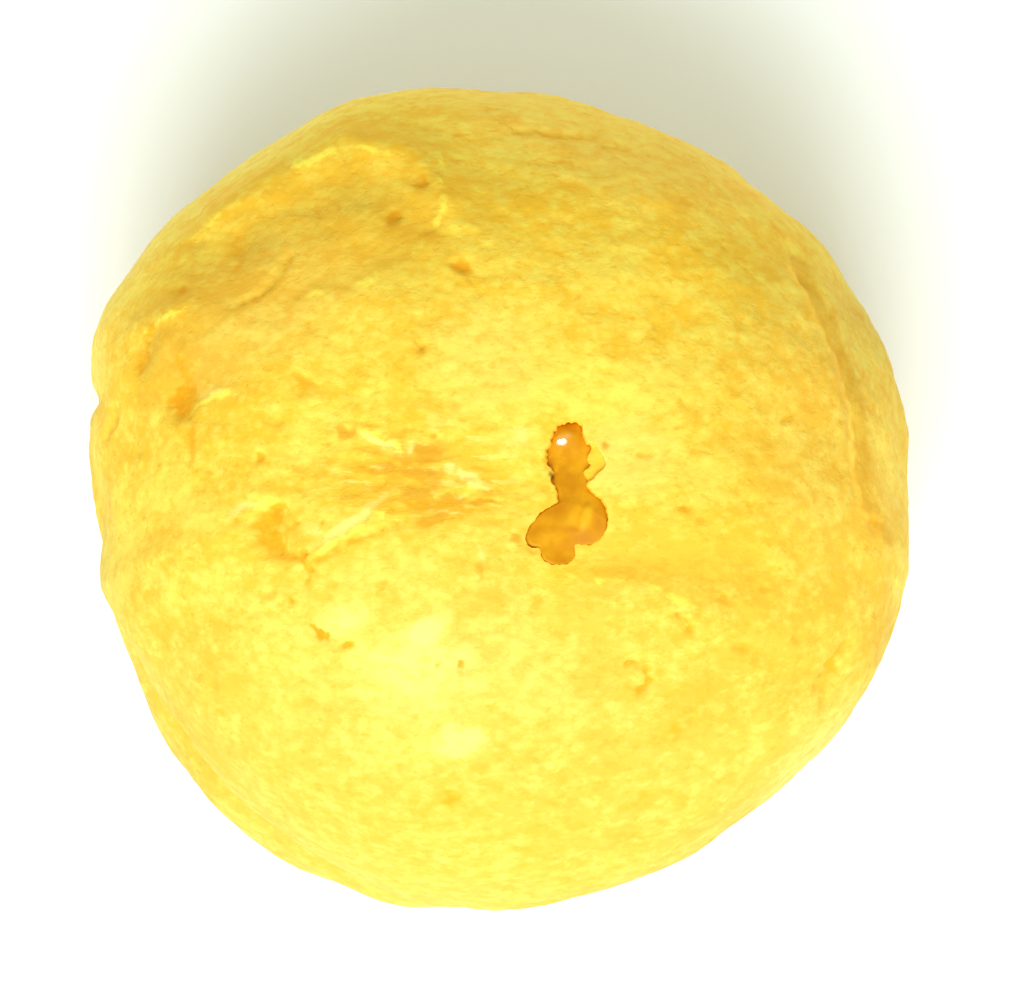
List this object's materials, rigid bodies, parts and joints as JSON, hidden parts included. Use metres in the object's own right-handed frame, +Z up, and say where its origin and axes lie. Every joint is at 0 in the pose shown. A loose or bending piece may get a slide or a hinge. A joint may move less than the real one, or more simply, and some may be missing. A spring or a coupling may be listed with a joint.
{
  "type": "cream puff",
  "caption": "Small round cream puff with a crumbly crust, an open waist crease and a ragged tear in the top that shows a glossy fruit filling.",
  "frame": {"origin": "on the table, under the middle of the puff's outline", "axes": "+Z up through the dome; +X to the right and +Y away from the viewer in the picture"},
  "size_m": [0.0552, 0.0544, 0.0377],
  "materials": {
    "crust": "matte, crumbly, baked yellow",
    "filling": "wet, glossy, amber jelly"
  },
  "bodies": {
    "root": {"puff_shell": "crust", "pineapple_filling": "filling"}
  },
  "joints": []
}
